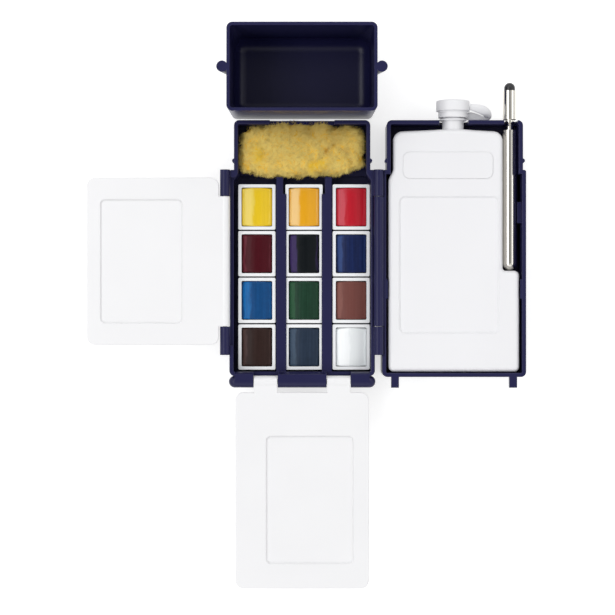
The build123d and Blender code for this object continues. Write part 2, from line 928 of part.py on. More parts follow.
def cap_strap():
    """Ring round the neck, and a flat band folded back over itself to the cap."""
    ring_y = top_y + moving_gap
    band_top_y = ring_y + strap_width
    ring = Circle(strap_ring_radius) - Circle(neck_radius + pin_gap)
    body = Pos(neck_x, 0, neck_z) * along_y(ring, ring_y, ring_y + strap_thickness)

    head_x = neck_x + cap_head_radius + moving_gap
    bend_x = head_x + strap_straight
    far_x = bend_x + strap_bend_radius
    half_fold = strap_thickness * 1.5
    low_z = neck_z - half_fold
    high_z = neck_z + half_fold

    # Lower layer, with a narrow root that passes under the cap's skirt
    root_x = neck_x + strap_ring_radius - join
    body += slab(
        root_x, head_x + join, ring_y, ring_y + strap_thickness,
        low_z, low_z + strap_thickness,
    )
    body += slab(
        head_x, far_x - strap_width / 2, ring_y, band_top_y,
        low_z, low_z + strap_thickness,
    )

    # Upper layer, a quarter bend from the fold up to the cap's head
    head_y = cap_top_y - cap_round
    bend_y = head_y - strap_bend_radius
    ring = Circle(strap_bend_radius) - Circle(strap_bend_radius - strap_width)
    quarter = Rectangle(
        strap_bend_radius, strap_bend_radius, align=(Align.MIN, Align.MIN)
    )
    bend = Pos(bend_x, bend_y) * (ring & quarter)
    body += upright(bend, high_z - strap_thickness, high_z)
    body += slab(
        head_x, bend_x, head_y - strap_width, head_y, high_z - strap_thickness, high_z
    )
    fold = outline([
        (far_x - strap_width, ring_y, strap_width / 4),
        (far_x, ring_y, strap_width / 3),
        (far_x, band_top_y, strap_width / 12),
        (far_x - strap_width, band_top_y, strap_width / 12),
    ])
    return body + upright(fold, low_z, high_z)


# Pocket brush

def brush_sheath():
    """Thin tube, closed and rounded at its far end."""
    far_y = sheath_mouth_y - sheath_length
    inner = sheath_radius - sheath_wall
    body = along_y(Circle(sheath_radius), far_y + sheath_radius, sheath_mouth_y)
    body += Pos(0, far_y + sheath_radius, 0) * Sphere(sheath_radius)
    body -= along_y(Circle(inner), far_y + sheath_radius, sheath_mouth_y + past)
    body -= Pos(0, far_y + sheath_radius, 0) * Sphere(inner)
    ring = Circle(sheath_radius + sheath_ring_rise) - Circle(inner)
    body += along_y(ring, sheath_mouth_y - sheath_ring_length, sheath_mouth_y)
    return Pos(sheath_x, 0, brush_axis_z) * body


def brush_handle():
    """Turned tube with a collar and a thin stem, on a stopper in the sheath."""
    bore_y = handle_end_y - end_plug_stub
    collar_y = handle_start_y - collar_length
    return spun([
        (0, stopper_start_y - stopper_length),
        (stopper_radius, stopper_start_y - stopper_length),
        (stopper_radius, stopper_start_y),
        (stem_radius, stopper_start_y),
        (stem_radius, collar_y - turned_edge),
        (collar_radius, collar_y),
        (collar_radius, handle_start_y),
        (handle_radius, handle_start_y + turned_edge),
        (handle_radius, handle_end_y),
        (handle_bore_radius, handle_end_y),
        (handle_bore_radius, bore_y),
        (0, bore_y),
    ], sheath_x, brush_axis_z)


def brush_end_plug():
    """Dark plug with a round end, stopping the handle's open end."""
    dome_y = handle_end_y + end_plug_length - end_plug_radius
    stub = Circle(handle_bore_radius - pin_gap)
    body = along_y(stub, handle_end_y - end_plug_stub, handle_end_y)
    body += along_y(Circle(end_plug_radius), handle_end_y, dome_y)
    reach = end_plug_radius + past
    dome = Sphere(end_plug_radius) - slab(-reach, reach, -reach, 0, -reach, reach)
    body += Pos(0, dome_y, 0) * dome
    return Pos(sheath_x, 0, brush_axis_z) * body


def brush_ferrule():
    """Tapered ferrule on the stopper's inner end."""
    return spun([
        (0, ferrule_start_y),
        (ferrule_root_radius, ferrule_start_y),
        (ferrule_root_radius, ferrule_start_y - ferrule_straight),
        (ferrule_tip_radius, hair_start_y),
        (0, hair_start_y),
    ], sheath_x, brush_axis_z)


def brush_hair():
    """Round pointed tuft with a slight belly."""
    tip = (hair_tip_radius, hair_start_y - hair_length)
    belly = (hair_belly_radius, hair_start_y - hair_belly)
    root = (ferrule_tip_radius - hair_root_gap, hair_start_y)
    side = Spline(root, belly, tip)
    back = Polyline(tip, (0, tip[1]), (0, hair_start_y), root)
    return Pos(sheath_x, 0, brush_axis_z) * revolve(make_face([side, back]), Axis.Y)


# Water cup

def cup_section(inset, corner, z):
    """Rounded rectangle of the cup's outside at a height, drawn in by inset."""
    drawn = inset + cup_draft * (1 - z / cup_height)
    section = RectangleRounded(
        2 * (cup_half_x - drawn), 2 * (cup_half_y - drawn), corner
    )
    return Pos(0, cup_y, z) * section


def water_cup():
    """Drafted cup with two tapering lugs that carry on the hinge lines."""
    body = loft([cup_section(0, cup_corner, 0), cup_section(0, cup_corner, cup_height)])
    body = fillet(body.edges().group_by(Axis.Z)[0], cup_foot_round)
    for side in (-1, 1):
        root_x = cup_half_x - cup_draft - lug_tip_radius
        top_x = cup_half_x + lug_out
        body += loft([
            Pos(side * root_x, cup_y, cup_height - lug_length) * Circle(lug_tip_radius),
            Pos(side * top_x, cup_y, cup_height) * Circle(lug_radius),
        ])
    rim_corner = max(cup_corner - cup_wall, least_corner)
    inside = loft([
        cup_section(cup_wall, cup_floor_corner, cup_floor),
        cup_section(cup_wall, rim_corner, cup_height),
    ])
    inside = fillet(inside.edges().group_by(Axis.Z)[0], cup_inner_round)
    return body - inside


# Sponge

def sponge():
    """Crowned block, widest low down, drawn in where the palettes fold past."""
    half = narrow_half - tray_wall - moving_gap
    back_y = inner_top_y - moving_gap
    belly_y = step_y - rib_start_gap + moving_gap
    clear_y = front_closed_far_y + moving_gap
    under_z = narrow_floor_z + seat_gap
    clear_z = rib_top_z
    belly_z = clear_z - (clear_y - belly_y)
    low_z = under_z + sponge_under_inset
    sections = [
        (under_z, sponge_under_inset, belly_y + sponge_under_inset + tray_wall),
        (low_z, 0, belly_y + tray_wall),
        (belly_z, 0, belly_y + tray_wall),
        (clear_z, 0, clear_y),
        (sponge_top_z, sponge_crown_inset, clear_y + sponge_crown_inset),
    ]
    faces = []
    for z, inset, front_y in sections:
        width = 2 * (half - inset)
        depth = back_y - inset - front_y
        middle = (back_y - inset + front_y) / 2
        corner = min(sponge_corner, depth / 3)
        faces.append(Pos(0, middle, z) * RectangleRounded(width, depth, corner))
    return loft(faces, ruled=True)


def all_nodes():
    """Every piece of the box by its node name."""
    nodes = {
        "base_tray": base_tray(),
        "left_hinge_pin": left_hinge_pin(),
        "lid_hinge_pin": lid_hinge_pin(),
        "front_hinge_pin": front_hinge_pin(),
        "side_palette": side_palette(),
        "front_palette": front_palette(),
        "lid_tray": lid_tray(),
        "water_bottle": water_bottle(),
        "bottle_cap": bottle_cap(),
        "cap_strap": cap_strap(),
        "brush_sheath": brush_sheath(),
        "brush_handle": brush_handle(),
        "brush_end_plug": brush_end_plug(),
        "brush_ferrule": brush_ferrule(),
        "brush_hair": brush_hair(),
        "sponge": sponge(),
        "water_cup": water_cup(),
    }
    for number, (colour, (x, y)) in enumerate(zip(colours, pan_centres()), start=1):
        nodes[f"pan_{number:02d}"] = half_pan(x, y)
        nodes[f"paint_{number:02d}_{colour}"] = paint_cake(x, y)
    return nodes


os.makedirs("parts", exist_ok=True)
for name, shape in all_nodes().items():
    export_step(shape, f"parts/{name}.step")
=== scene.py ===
import json
import math

import bmesh
import bpy
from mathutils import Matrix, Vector, noise


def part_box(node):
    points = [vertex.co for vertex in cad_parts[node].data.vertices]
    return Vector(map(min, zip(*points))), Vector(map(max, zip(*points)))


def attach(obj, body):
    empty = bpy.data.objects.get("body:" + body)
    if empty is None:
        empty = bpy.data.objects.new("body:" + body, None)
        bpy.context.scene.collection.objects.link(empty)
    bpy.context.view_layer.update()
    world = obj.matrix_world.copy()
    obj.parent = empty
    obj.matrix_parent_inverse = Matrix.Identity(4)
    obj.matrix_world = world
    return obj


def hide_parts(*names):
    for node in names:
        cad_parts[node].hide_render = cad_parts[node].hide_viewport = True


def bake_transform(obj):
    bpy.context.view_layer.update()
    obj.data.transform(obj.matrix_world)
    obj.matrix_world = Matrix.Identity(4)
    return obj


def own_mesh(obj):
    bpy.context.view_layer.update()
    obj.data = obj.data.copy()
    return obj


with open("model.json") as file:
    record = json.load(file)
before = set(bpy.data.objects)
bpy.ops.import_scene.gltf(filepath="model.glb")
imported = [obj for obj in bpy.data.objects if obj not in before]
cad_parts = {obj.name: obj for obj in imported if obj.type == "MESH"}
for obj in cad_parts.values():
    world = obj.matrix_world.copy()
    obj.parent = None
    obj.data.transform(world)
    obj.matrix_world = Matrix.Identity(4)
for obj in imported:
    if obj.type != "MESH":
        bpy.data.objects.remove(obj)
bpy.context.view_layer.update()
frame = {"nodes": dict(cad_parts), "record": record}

MM = 0.001
NODES = frame["nodes"]
SLOT_OF = {part["node"]: part["material_slot"] for part in frame["record"]["subparts"]}


# Wiring of node trees

class Wiring:
    """Adds nodes to one tree and joins them up."""

    def __init__(self, tree):
        self.tree = tree

    def feed(self, socket, value):
        """Joins a socket to another one, or sets it to a plain value."""
        if isinstance(value, bpy.types.NodeSocket):
            self.tree.links.new(value, socket)
        else:
            socket.default_value = value

    def node(self, kind, options=None, **inputs):
        """New node; an input's name has underscores for its spaces."""
        made = self.tree.nodes.new(kind)
        for name, value in (options or {}).items():
            setattr(made, name, value)
        for name, value in inputs.items():
            self.feed(made.inputs[name.replace("_", " ")], value)
        return made

    def math(self, operation, *values):
        made = self.node("ShaderNodeMath", {"operation": operation})
        for socket, value in zip(made.inputs, values):
            self.feed(socket, value)
        return made.outputs[0]

    def vector_math(self, operation, *values):
        made = self.node("ShaderNodeVectorMath", {"operation": operation})
        for socket, value in zip(made.inputs, values):
            self.feed(socket, value)
        return made.outputs["Value" if operation == "DOT_PRODUCT" else "Vector"]

    def noise(self, scale, detail=2.0, where=None):
        made = self.node("ShaderNodeTexNoise", Scale=scale, Detail=detail)
        if where is not None:
            self.feed(made.inputs["Vector"], where)
        return made.outputs["Fac"]

    def remap(self, value, low, high, to_low, to_high):
        made = self.node("ShaderNodeMapRange")
        for name, item in (
            ("Value", value), ("From Min", low), ("From Max", high),
            ("To Min", to_low), ("To Max", to_high),
        ):
            self.feed(made.inputs[name], item)
        return made.outputs["Result"]

    def mix(self, amount, first, second, blend="MIX"):
        """Mix of two colours, whose sockets share their names with those of other types."""
        made = self.node("ShaderNodeMix", {"data_type": "RGBA", "blend_type": blend})
        for place, value in ((0, amount), (6, first), (7, second)):
            self.feed(made.inputs[place], value)
        return made.outputs[2]

    def random(self, low, high, seed):
        """Random number, from the sockets that belong to plain numbers."""
        made = self.node("FunctionNodeRandomValue", {"data_type": "FLOAT"})
        for place, value in ((2, low), (3, high), (8, seed)):
            self.feed(made.inputs[place], value)
        return made.outputs[1]

    def carried(self, label, kind="Fac"):
        """Value that the mesh carries under a label."""
        return self.node("ShaderNodeAttribute", {"attribute_name": label}).outputs[kind]

    def grey(self, value):
        """Vector with one value three times."""
        return self.node("ShaderNodeCombineXYZ", X=value, Y=value, Z=value).outputs[0]

    def store(self, mesh, label, value, domain="POINT", kind="FLOAT"):
        """Mesh that carries a value under a label."""
        return self.node(
            "GeometryNodeStoreNamedAttribute", {"data_type": kind, "domain": domain},
            Geometry=mesh, Name=label, Value=value).outputs[0]

    def finish(self, mesh, given, out):
        """Ends a geometry tree, with the mesh in the finish that the tree is given."""
        done = self.node("GeometryNodeSetMaterial", Geometry=mesh, Material=given["Finish"])
        self.feed(out["Geometry"], done.outputs[0])


def new_tree(name, kind, inputs, outputs):
    """Tree with named sockets; returns it, its wiring, its inputs and its output node."""
    tree = bpy.data.node_groups.new(name, kind)
    for label, socket_type, default in inputs:
        socket = tree.interface.new_socket(
            name=label, in_out="INPUT", socket_type="NodeSocket" + socket_type
        )
        if default is not None:
            socket.default_value = default
    for label, socket_type in outputs:
        tree.interface.new_socket(
            name=label, in_out="OUTPUT", socket_type="NodeSocket" + socket_type
        )
    entry = tree.nodes.new("NodeGroupInput")
    leave = tree.nodes.new("NodeGroupOutput")
    return tree, Wiring(tree), entry.outputs, leave.inputs


# Effects shared by the finishes

EDGE_ROUND = 0.35 * MM
GRAIN_HEIGHT = 0.05 * MM
STREAK_HEIGHT = 0.1 * MM
# Broad unevenness, as a share of the grain's frequency
BROAD_SHARE = 0.012
# Added to the colour on an edge: a painted highlight on rounded rims, with some wear
EDGE_WEAR_AND_HIGHLIGHT = (0.035, 0.036, 0.052, 1)
# Frequency along a streak, as a share of that across it
STREAK_STRETCH = 0.03
# Part of the streaks in the pattern, the rest being mottle, and its frequency
STREAK_PART = 0.75
MOTTLE_SHARE = 0.5


def skin_group():
    """Moulded plastic: fine tool grain, faint unevenness, edges painted lighter as a highlight
    on rounded rims and as some wear.
    """
    tree, w, given, out = new_tree(
        "moulded_skin", "ShaderNodeTree",
        [
            ("Color", "Color", (0.5, 0.5, 0.5, 1)),
            ("Grain Scale", "Float", 5000.0),
            ("Grain Depth", "Float", 0.1),
            ("Roughness", "Float", 0.35),
            ("Unevenness", "Float", 0.1),
            ("Mottle", "Float", 0.01),
            ("Edge Light", "Float", 0.0),
        ],
        [("Color", "Color"), ("Roughness", "Float"), ("Normal", "Vector")],
    )
    where = w.node("ShaderNodeTexCoord").outputs["Object"]
    fine = w.noise(given["Grain Scale"], 2.0, where)
    broad = w.noise(w.math("MULTIPLY", given["Grain Scale"], BROAD_SHARE), 3.0, where)
    eased = w.node("ShaderNodeBevel", {"samples": 4}, Radius=EDGE_ROUND).outputs["Normal"]
    plain = w.node("ShaderNodeNewGeometry").outputs["Normal"]
    turn = w.math("SUBTRACT", 1.0, w.vector_math("DOT_PRODUCT", eased, plain))
    # Edges painted lighter: a painted highlight on rounded rims, with some wear
    edge = w.math("MINIMUM", w.math("MULTIPLY", turn, given["Edge Light"]), 1.0)
    tint = w.math("ADD", 1.0, w.math(
        "MULTIPLY", w.math("SUBTRACT", broad, 0.5), given["Mottle"]))
    toned = w.vector_math("MULTIPLY", given["Color"], w.grey(tint))
    lifted = w.mix(edge, toned, w.mix(1.0, toned, EDGE_WEAR_AND_HIGHLIGHT, "ADD"))
    spread = w.math("MULTIPLY", w.math("SUBTRACT", broad, 0.5), given["Unevenness"])
    bump = w.node(
        "ShaderNodeBump", Strength=given["Grain Depth"], Distance=GRAIN_HEIGHT,
        Height=fine, Normal=eased,
    )
    w.feed(out["Color"], lifted)
    w.feed(out["Roughness"], w.math("ADD", given["Roughness"], spread))
    w.feed(out["Normal"], bump.outputs["Normal"])
    return tree


def streak_group():
    """Lines drawn along Y, as on extruded paint and on polished tube."""
    tree, w, given, out = new_tree(
        "drawn_streaks", "ShaderNodeTree",
        [
            ("Color", "Color", (0.5, 0.5, 0.5, 1)),
            ("Streaks Per Metre", "Float", 900.0),
            ("Contrast", "Float", 0.2),
            ("Depth", "Float", 0.2),
            ("Roughness", "Float", 0.3),
            ("Roughness Spread", "Float", 0.2),
        ],
        [("Color", "Color"), ("Roughness", "Float"), ("Normal", "Vector")],
    )
    where = w.node("ShaderNodeTexCoord").outputs["Object"]
    across = given["Streaks Per Metre"]
    along = w.math("MULTIPLY", across, STREAK_STRETCH)
    stretch = w.node("ShaderNodeCombineXYZ", X=across, Y=along, Z=across).outputs[0]
    lines = w.noise(1.0, 3.0, w.vector_math("MULTIPLY", where, stretch))
    mottle = w.noise(w.math("MULTIPLY", across, MOTTLE_SHARE), 2.0, where)
    both = w.math(
        "ADD", w.math("MULTIPLY", lines, STREAK_PART),
        w.math("MULTIPLY", mottle, 1.0 - STREAK_PART))
    swing = w.math("MULTIPLY", w.math("SUBTRACT", both, 0.5), given["Contrast"])
    gain = w.math("ADD", 1.0, w.math("MULTIPLY", swing, 2.0))
    toned = w.vector_math("MULTIPLY", given["Color"], w.grey(gain))
    bump = w.node(
        "ShaderNodeBump", Strength=given["Depth"], Distance=STREAK_HEIGHT, Height=both,
    )
    rough = w.math("MULTIPLY", w.math("SUBTRACT", both, 0.5), given["Roughness Spread"])
    w.feed(out["Color"], toned)
    w.feed(out["Roughness"], w.math("ADD", given["Roughness"], rough))
    w.feed(out["Normal"], bump.outputs["Normal"])
    return tree


SKIN = skin_group()
STREAKS = streak_group()


# Finishes

UNEVENNESS = 0.12
CAKE_STREAKS_PER_METRE = 1400.0
CAKE_STREAK_DEPTH = 0.25
CAKE_ROUGHNESS_SPREAD = 0.25
# Where the painted highlight bands lie across a cake, from -1 at its left side to 1 at its
# right
LEFT_HIGHLIGHT_RISE = (-0.97, -0.86)
RIGHT_HIGHLIGHT_RISE = (0.78, 0.86)
RIGHT_HIGHLIGHT_FALL = (0.90, 0.96)
RIGHT_HIGHLIGHT_AMOUNT = 0.4
HIGHLIGHT_BLUR = 0.06
HIGHLIGHT_SWAY = 0.45
HIGHLIGHT_WAVES_PER_METRE = (500.0, 130.0, 0.0)


def cleared_material(name):
    """Material with an empty tree, and the wiring for it."""
    material = bpy.data.materials.new(name)
    material.use_nodes = True
    material.node_tree.nodes.clear()
    return material, Wiring(material.node_tree)


def finish_from(name, group, settings, **shader):
    """Material with one effect group feeding a Principled shader."""
    material, w = cleared_material(name)
    effect = w.node("ShaderNodeGroup", {"node_tree": group})
    for label, value in settings.items():
        effect.inputs[label].default_value = value
    surface = w.node("ShaderNodeBsdfPrincipled")
    for label in ("Roughness", "Normal"):
        w.feed(surface.inputs[label], effect.outputs[label])
    w.feed(surface.inputs["Base Color"], effect.outputs["Color"])
    for label, value in shader.items():
        surface.inputs[label.replace("_", " ")].default_value = value
    w.node("ShaderNodeOutputMaterial", Surface=surface.outputs[0])
    return material


def moulded(name, color, roughness, grain, mottle=0.03, edge_wear_and_highlight=0.0, **shader):
    """Moulded plastic; its grain is given as how often it comes in a metre and its depth."""
    grain_scale, grain_depth = grain
    return finish_from(name, SKIN, {
        "Color": (*color, 1), "Roughness": roughness, "Grain Scale": grain_scale,
        "Grain Depth": grain_depth, "Unevenness": UNEVENNESS, "Mottle": mottle,
        "Edge Light": edge_wear_and_highlight,
    }, **shader)


def paint_cake_finish(name, main, painted_highlight, highlight_end, roughness, contrast, coat):
    """Dried paint, with a painted highlight down its left side and a fainter one near its
    right edge.
    """
    material = finish_from(name, STREAKS, {
        "Roughness": roughness, "Streaks Per Metre": CAKE_STREAKS_PER_METRE,
        "Contrast": contrast, "Depth": CAKE_STREAK_DEPTH,
        "Roughness Spread": CAKE_ROUGHNESS_SPREAD,
    }, Coat_Weight=coat, Coat_Roughness=0.07, Specular_IOR_Level=0.12)
    w = Wiring(material.node_tree)
    where = w.node("ShaderNodeTexCoord").outputs["Object"]
    long_wave = w.noise(1.0, 3.0, w.vector_math("MULTIPLY", where, HIGHLIGHT_WAVES_PER_METRE))
    wavy = w.math("ADD", w.carried("side"), w.math(
        "MULTIPLY", w.math("SUBTRACT", long_wave, 0.5), HIGHLIGHT_SWAY))
    # Painted highlight bands: a wide one down the left side and a faint one near the right
    # edge
    left = w.math(
        "MULTIPLY", w.remap(wavy, *LEFT_HIGHLIGHT_RISE, 0.0, 1.0),
        w.remap(wavy, highlight_end - HIGHLIGHT_BLUR, highlight_end + HIGHLIGHT_BLUR, 1.0, 0.0))
    right = w.math(
        "MULTIPLY", w.remap(wavy, *RIGHT_HIGHLIGHT_RISE, 0.0, RIGHT_HIGHLIGHT_AMOUNT),
        w.remap(wavy, *RIGHT_HIGHLIGHT_FALL, 1.0, 0.0))
    toned = w.mix(w.math("MAXIMUM", left, right), (*main, 1), (*painted_highlight, 1))
    effect = next(node for node in material.node_tree.nodes if node.type == "GROUP")
    w.feed(effect.inputs["Color"], toned)
    return material


def nickel():
    """Polished plating of the brush's sheath and handle."""
    return finish_from("bright_nickel", STREAKS, {
        "Color": (0.86, 0.83, 0.76, 1), "Roughness": 0.10, "Streaks Per Metre": 2200.0,
        "Contrast": 0.03, "Depth": 0.01, "Roughness Spread": 0.05,
    }, Metallic=1.0)


def steel_wire():
    """Drawn wire of the hinge pins."""
    return finish_from("steel_wire", STREAKS, {
        "Color": (0.50, 0.50, 0.51, 1), "Roughness": 0.32, "Streaks Per Metre": 5000.0,
        "Contrast": 0.15, "Depth": 0.1, "Roughness Spread": 0.2,
    }, Metallic=1.0)


# How often patches and strands come in a metre, where their noise starts and ends to
# count, and how far they go to the deep colour
PATCHES = (140.0, 3.0, 0.35, 0.65, 0.15)
STRANDS = (620.0, 1.0, 0.50, 0.68, 0.32)
FIBRE_SPREAD = 0.25
# How far fibres are lit like a soft surface that faces the sky
SKY_LEAN = (0.0, 0.0, 0.4)
OWN_FACING = (0.35, 0.35, 0.35)
# Light that passes between fibres, which grow thin just above their roots
PASSING_RISE = 20.0
PASSING_MOST = 0.95
FIBRE_ROUGHNESS = (0.6, 0.85)


def fibre_finish(name, root, tip, deep, patch_tone, sheen):
    """Fibres: colour from root to tip, the roots darker as painted shade among the fibres;
    varied fibre by fibre and by patch, and darkened where the mesh carries painted shade.
    """
    material, w = cleared_material(name)
    where = w.node("ShaderNodeTexCoord").outputs["Object"]
    marks = [
        w.remap(w.noise(per_metre, detail, where), low, high, 0.0, amount)
        for per_metre, detail, low, high, amount in (PATCHES, STRANDS)
    ]
    patch = w.math("MAXIMUM", *marks)
    # The darker root colour is painted shade down among the fibres
    lit = w.mix(w.carried("reach"), (*root, 1), (*tip, 1))
    varied = w.mix(w.math("MULTIPLY", w.carried("shade"), FIBRE_SPREAD), lit, (*deep, 1))
    # Painted shade that the mesh carries darkens towards the deep colour, as the patches do
    shaded = w.mix(w.math("MAXIMUM", patch, w.carried("painted_shade")), varied, (*deep, 1))
    toned = w.mix(w.carried("amber"), shaded, (*patch_tone, 1))
    under = w.node("ShaderNodeVectorTransform", {
        "vector_type": "NORMAL", "convert_from": "OBJECT", "convert_to": "WORLD",
    }, Vector=w.vector_math("ADD", SKY_LEAN, w.carried("nap", "Vector")))
    own = w.vector_math(
        "MULTIPLY", w.node("ShaderNodeNewGeometry").outputs["Normal"], OWN_FACING)
    facing = w.vector_math("NORMALIZE", w.vector_math("ADD", under.outputs[0], own))
    passing = w.math(
        "MINIMUM", w.math("MULTIPLY", w.carried("reach"), PASSING_RISE), PASSING_MOST)
    ray = w.node("ShaderNodeLightPath").outputs
    scattered = w.math("MAXIMUM", ray["Is Shadow Ray"], ray["Is Diffuse Ray"])
    surface = w.node(
        "ShaderNodeBsdfPrincipled", Base_Color=toned, Normal=facing,
        Alpha=w.math("SUBTRACT", 1.0, w.math("MULTIPLY", passing, scattered)),
        Roughness=w.remap(w.carried("shade"), 0.0, 1.0, *FIBRE_ROUGHNESS),
        Sheen_Weight=sheen, Sheen_Roughness=0.5, Specular_IOR_Level=0.2,
    )
    w.node("ShaderNodeOutputMaterial", Surface=surface.outputs[0])
    return material


# Colour, paler colour of the painted highlight, where the left highlight ends, roughness,
# streak contrast and coat
PAINTS = {
    "yellow": ((0.80, 0.54, 0.016), (0.84, 0.64, 0.10), -0.20, 0.30, 0.08, 0.45),
    "deep_yellow": ((0.78, 0.37, 0.012), (0.82, 0.52, 0.17), -0.32, 0.24, 0.06, 0.5),
    "red": ((0.50, 0.012, 0.026), (0.54, 0.045, 0.070), -0.38, 0.32, 0.15, 0.25),
    "crimson": ((0.062, 0.003, 0.008), (0.135, 0.022, 0.034), -0.72, 0.36, 0.25, 0.04),
    "violet": ((0.004, 0.006, 0.008), (0.036, 0.020, 0.092), -0.48, 0.34, 0.35, 0.03),
    "ultramarine": ((0.008, 0.017, 0.074), (0.022, 0.050, 0.165), -0.55, 0.36, 0.80, 0.04),
    "blue": ((0.006, 0.062, 0.195), (0.006, 0.13, 0.38), -0.45, 0.36, 0.45, 0.06),
    "green": ((0.011, 0.042, 0.023), (0.018, 0.075, 0.034), -0.60, 0.38, 0.60, 0.04),
    "red_brown": ((0.165, 0.058, 0.049), (0.22, 0.085, 0.070), -0.62, 0.42, 0.15, 0.05),
    "umber": ((0.029, 0.014, 0.012), (0.072, 0.040, 0.036), -0.70, 0.40, 0.45, 0.04),
    "indigo": ((0.021, 0.035, 0.062), (0.044, 0.072, 0.115), -0.55, 0.40, 0.50, 0.05),
    "white": ((0.82, 0.85, 0.86), (0.92, 0.94, 0.95), -0.10, 0.34, 0.05, 0.4),
}

FINISHES = {
    # Navy and plug edges are painted lighter: a painted highlight with some wear
    "tray_navy": moulded(
        "navy_styrene", (0.0145, 0.0145, 0.062), 0.30, (2300.0, 0.6), 0.3, 1.0,
        Specular_IOR_Level=0.25),
    "palette_white": moulded(
        "palette_plastic", (0.86, 0.86, 0.872), 0.34, (3600.0, 0.04)),
    "pan_white": moulded("pan_plastic", (0.89, 0.905, 0.92), 0.30, (5000.0, 0.05)),
    "bottle_white": moulded(
        "blown_polyethylene", (0.84, 0.84, 0.86), 0.40, (1800.0, 0.08), 0.05,
        Sheen_Weight=0.1),
    "brush_nickel": nickel(),
    "plug_dark": moulded("plug_plastic", (0.018, 0.018, 0.022), 0.30, (5000.0, 0.1), 0.2, 1.5),
    "pin_steel": steel_wire(),
    "sponge_yellow": fibre_finish(
        "sponge_pile", (0.96, 0.57, 0.055), (1.0, 0.83, 0.27), (0.40, 0.19, 0.03),
        (1.0, 0.62, 0.01), 0.0),
    "brush_hair": fibre_finish(
        "brush_hairs", (0.16, 0.07, 0.03), (0.36, 0.18, 0.08), (0.05, 0.02, 0.01),
        (0.20, 0.09, 0.04), 0.2),
}
for colour, settings in PAINTS.items():
    FINISHES["paint_" + colour] = paint_cake_finish("paint_" + colour, *settings)

for name, piece in NODES.items():
    piece.data.materials.clear()
    piece.data.materials.append(FINISHES[SLOT_OF[name]])


# Pieces grown by node trees

def grown(name, tree, slot, settings, host=None):
    """Plain mesh that a geometry tree makes, in the finish of a slot."""
    mesh = host if host is not None else bpy.data.meshes.new(name + "_host")
    seed_object = bpy.data.objects.new(name + "_seed", mesh)
    bpy.context.scene.collection.objects.link(seed_object)
    growth = seed_object.modifiers.new("growth", "NODES")
    growth.node_group = tree
    for item in tree.interface.items_tree:
        if item.in_out == "INPUT" and item.name in settings:
            growth[item.identifier] = settings[item.name]
    bpy.context.view_layer.update()
    evaluated = seed_object.evaluated_get(bpy.context.evaluated_depsgraph_get())
    made = bpy.data.meshes.new_from_object(evaluated)
    bpy.data.objects.remove(seed_object)
    made.materials.clear()
    made.materials.append(FINISHES[slot])
    piece = bpy.data.objects.new(name, made)
    bpy.context.scene.collection.objects.link(piece)
    return piece


CAKE_CROWN = 1.4 * MM
CAKE_GRID = (("Vertices X", 56), ("Vertices Y", 44), ("Vertices Z", 4))
LINES_ACROSS_PER_METRE = 1500.0
LINES_ALONG_PER_METRE = 60.0
SAGS_PER_METRE = 160.0
# Depth of the sags, in line depths
SAG_SHARE = 3.0
END_SHARPNESS = 14.0
SIDE_SHARPNESS = 18.0
# How far the ends draw back at the sides, as a share of the half length
END_BOW = -0.035
# Keeps the cakes' patterns apart
SEED_STEP = 7.3


